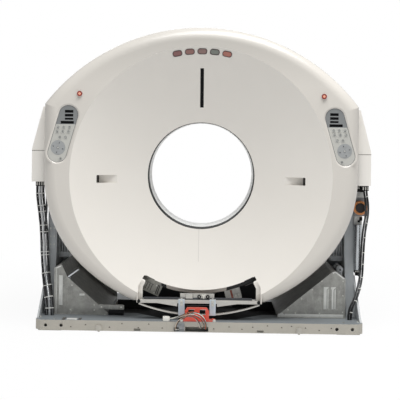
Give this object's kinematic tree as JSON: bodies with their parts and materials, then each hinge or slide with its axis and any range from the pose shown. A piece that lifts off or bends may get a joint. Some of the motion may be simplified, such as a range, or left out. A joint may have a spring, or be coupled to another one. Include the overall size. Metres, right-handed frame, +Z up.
{
  "type": "ct scanner gantry",
  "caption": "Tilting computed-tomography gantry on its base frame, lower and side base covers taken off, with rotor, panels, looms and a transport lock.",
  "frame": {"origin": "on the floor under the centre of the bore, midway between front and rear", "axes": "+Z up, +X to the right of a person who faces the gantry's front, front towards -Y"},
  "size_m": [2.266, 1.0078, 1.9848],
  "materials": {
    "cover_paint": "satin white moulding",
    "bore_liner": "white tube wall with a black scan window",
    "frame_casting": "machined casting",
    "bearing_steel": "ground steel",
    "white_bar": "pale painted bar",
    "lamp_lens": "tinted lens",
    "dark_glass": "dark window",
    "panel_film": "printed film over a moulding",
    "rotor_casting": "painted casting",
    "tube_housing": "satin paint",
    "detector_housing": "anodised",
    "brushed_box": "brushed",
    "power_housing": "pale paint",
    "weight_steel": "sawn steel",
    "base_paint": "grey-beige paint",
    "jack_steel": "dark steel",
    "stand_paint": "pale blue-grey paint",
    "bearing_bronze": "bushing bronze",
    "galvanised_sheet": "scuffed galvanised sheet",
    "red_paint": "red paint",
    "duct_sheet": "bright sheet",
    "black_cable": "cable jacket",
    "harness_wire": "bundled wires",
    "white_plug": "white nylon",
    "orange_cable": "orange jacket",
    "grey_bracket": "grey paint",
    "stop_red": "red button",
    "pad_grey": "grey moulding",
    "key_light": "light moulding"
  },
  "bodies": {
    "base": {"base_frame": "base_paint", "levelling_jacks": "jack_steel", "left_stand": "stand_paint", "right_stand": "stand_paint", "pivot_bearings": "bearing_bronze", "left_stand_box": "galvanised_sheet", "right_stand_box": "galvanised_sheet", "left_upper_side_cover": "cover_paint", "right_upper_side_cover": "cover_paint", "left_lower_side_cover": "cover_paint", "right_lower_side_cover": "cover_paint", "transport_lock": "red_paint", "service_duct": "duct_sheet", "left_cable_loom": "black_cable", "right_cable_loom": "black_cable", "front_harness": "harness_wire", "harness_plug": "white_plug", "coiled_cable": "orange_cable", "cable_bracket": "grey_bracket"},
    "tilt_unit": {"front_cover": "cover_paint", "rear_cover": "cover_paint", "top_cover": "cover_paint", "bore_liner": "bore_liner", "tilt_frame": "frame_casting", "main_bearing": "bearing_steel", "lower_crossmember": "white_bar", "indicator_lamps": "lamp_lens", "laser_windows": "dark_glass", "left_panel": "panel_film", "right_panel": "panel_film"},
    "rotor": {"rotor_drum": "rotor_casting", "xray_tube": "tube_housing", "detector_module": "detector_housing", "tube_cooler": "brushed_box", "power_unit": "power_housing", "balance_weights": "weight_steel"},
    "left_stop_button": {"left_stop_button": "stop_red"},
    "right_stop_button": {"right_stop_button": "stop_red"},
    "left_cursor_pad": {"left_cursor_pad": "pad_grey"},
    "right_cursor_pad": {"right_cursor_pad": "pad_grey"},
    "left_key_1": {"left_key_1": "key_light"},
    "right_key_1": {"right_key_1": "key_light"},
    "left_key_2": {"left_key_2": "key_light"},
    "right_key_2": {"right_key_2": "key_light"},
    "left_key_3": {"left_key_3": "key_light"},
    "right_key_3": {"right_key_3": "key_light"},
    "left_key_4": {"left_key_4": "key_light"},
    "right_key_4": {"right_key_4": "key_light"},
    "left_key_5": {"left_key_5": "key_light"},
    "right_key_5": {"right_key_5": "key_light"},
    "left_key_6": {"left_key_6": "key_light"},
    "right_key_6": {"right_key_6": "key_light"},
    "left_key_7": {"left_key_7": "key_light"},
    "right_key_7": {"right_key_7": "key_light"},
    "left_key_8": {"left_key_8": "key_light"},
    "right_key_8": {"right_key_8": "key_light"},
    "left_key_9": {"left_key_9": "key_light"},
    "right_key_9": {"right_key_9": "key_light"}
  },
  "joints": [
    {"name": "gantry_tilt", "type": "hinge", "parent": "base", "child": "tilt_unit", "pos_m": [0, 0, 1], "axis": [1, 0, 0], "range_deg": [-30, 30]},
    {"name": "rotor_spin", "type": "hinge", "parent": "tilt_unit", "child": "rotor", "pos_m": [0, 0, 1], "axis": [0, 1, 0], "continuous": true},
    {"name": "left_stop_button_press", "type": "slide", "parent": "tilt_unit", "child": "left_stop_button", "axis": [0, 1, 0], "range_m": [0, 0.004], "stiffness_N_per_m": 1500},
    {"name": "right_stop_button_press", "type": "slide", "parent": "tilt_unit", "child": "right_stop_button", "axis": [0, 1, 0], "range_m": [0, 0.004], "stiffness_N_per_m": 1500},
    {"name": "left_cursor_pad_press", "type": "slide", "parent": "tilt_unit", "child": "left_cursor_pad", "axis": [0, 1, 0], "range_m": [0, 0.001], "stiffness_N_per_m": 500},
    {"name": "right_cursor_pad_press", "type": "slide", "parent": "tilt_unit", "child": "right_cursor_pad", "axis": [0, 1, 0], "range_m": [0, 0.001], "stiffness_N_per_m": 500},
    {"name": "left_key_1_press", "type": "slide", "parent": "tilt_unit", "child": "left_key_1", "axis": [0, 1, 0], "range_m": [0, 0.001], "stiffness_N_per_m": 500},
    {"name": "right_key_1_press", "type": "slide", "parent": "tilt_unit", "child": "right_key_1", "axis": [0, 1, 0], "range_m": [0, 0.001], "stiffness_N_per_m": 500},
    {"name": "left_key_2_press", "type": "slide", "parent": "tilt_unit", "child": "left_key_2", "axis": [0, 1, 0], "range_m": [0, 0.001], "stiffness_N_per_m": 500},
    {"name": "right_key_2_press", "type": "slide", "parent": "tilt_unit", "child": "right_key_2", "axis": [0, 1, 0], "range_m": [0, 0.001], "stiffness_N_per_m": 500},
    {"name": "left_key_3_press", "type": "slide", "parent": "tilt_unit", "child": "left_key_3", "axis": [0, 1, 0], "range_m": [0, 0.001], "stiffness_N_per_m": 500},
    {"name": "right_key_3_press", "type": "slide", "parent": "tilt_unit", "child": "right_key_3", "axis": [0, 1, 0], "range_m": [0, 0.001], "stiffness_N_per_m": 500},
    {"name": "left_key_4_press", "type": "slide", "parent": "tilt_unit", "child": "left_key_4", "axis": [0, 1, 0], "range_m": [0, 0.001], "stiffness_N_per_m": 500},
    {"name": "right_key_4_press", "type": "slide", "parent": "tilt_unit", "child": "right_key_4", "axis": [0, 1, 0], "range_m": [0, 0.001], "stiffness_N_per_m": 500},
    {"name": "left_key_5_press", "type": "slide", "parent": "tilt_unit", "child": "left_key_5", "axis": [0, 1, 0], "range_m": [0, 0.001], "stiffness_N_per_m": 500},
    {"name": "right_key_5_press", "type": "slide", "parent": "tilt_unit", "child": "right_key_5", "axis": [0, 1, 0], "range_m": [0, 0.001], "stiffness_N_per_m": 500},
    {"name": "left_key_6_press", "type": "slide", "parent": "tilt_unit", "child": "left_key_6", "axis": [0, 1, 0], "range_m": [0, 0.001], "stiffness_N_per_m": 500},
    {"name": "right_key_6_press", "type": "slide", "parent": "tilt_unit", "child": "right_key_6", "axis": [0, 1, 0], "range_m": [0, 0.001], "stiffness_N_per_m": 500},
    {"name": "left_key_7_press", "type": "slide", "parent": "tilt_unit", "child": "left_key_7", "axis": [0, 1, 0], "range_m": [0, 0.001], "stiffness_N_per_m": 500},
    {"name": "right_key_7_press", "type": "slide", "parent": "tilt_unit", "child": "right_key_7", "axis": [0, 1, 0], "range_m": [0, 0.001], "stiffness_N_per_m": 500},
    {"name": "left_key_8_press", "type": "slide", "parent": "tilt_unit", "child": "left_key_8", "axis": [0, 1, 0], "range_m": [0, 0.001], "stiffness_N_per_m": 500},
    {"name": "right_key_8_press", "type": "slide", "parent": "tilt_unit", "child": "right_key_8", "axis": [0, 1, 0], "range_m": [0, 0.001], "stiffness_N_per_m": 500},
    {"name": "left_key_9_press", "type": "slide", "parent": "tilt_unit", "child": "left_key_9", "axis": [0, 1, 0], "range_m": [0, 0.001], "stiffness_N_per_m": 500},
    {"name": "right_key_9_press", "type": "slide", "parent": "tilt_unit", "child": "right_key_9", "axis": [0, 1, 0], "range_m": [0, 0.001], "stiffness_N_per_m": 500}
  ]
}
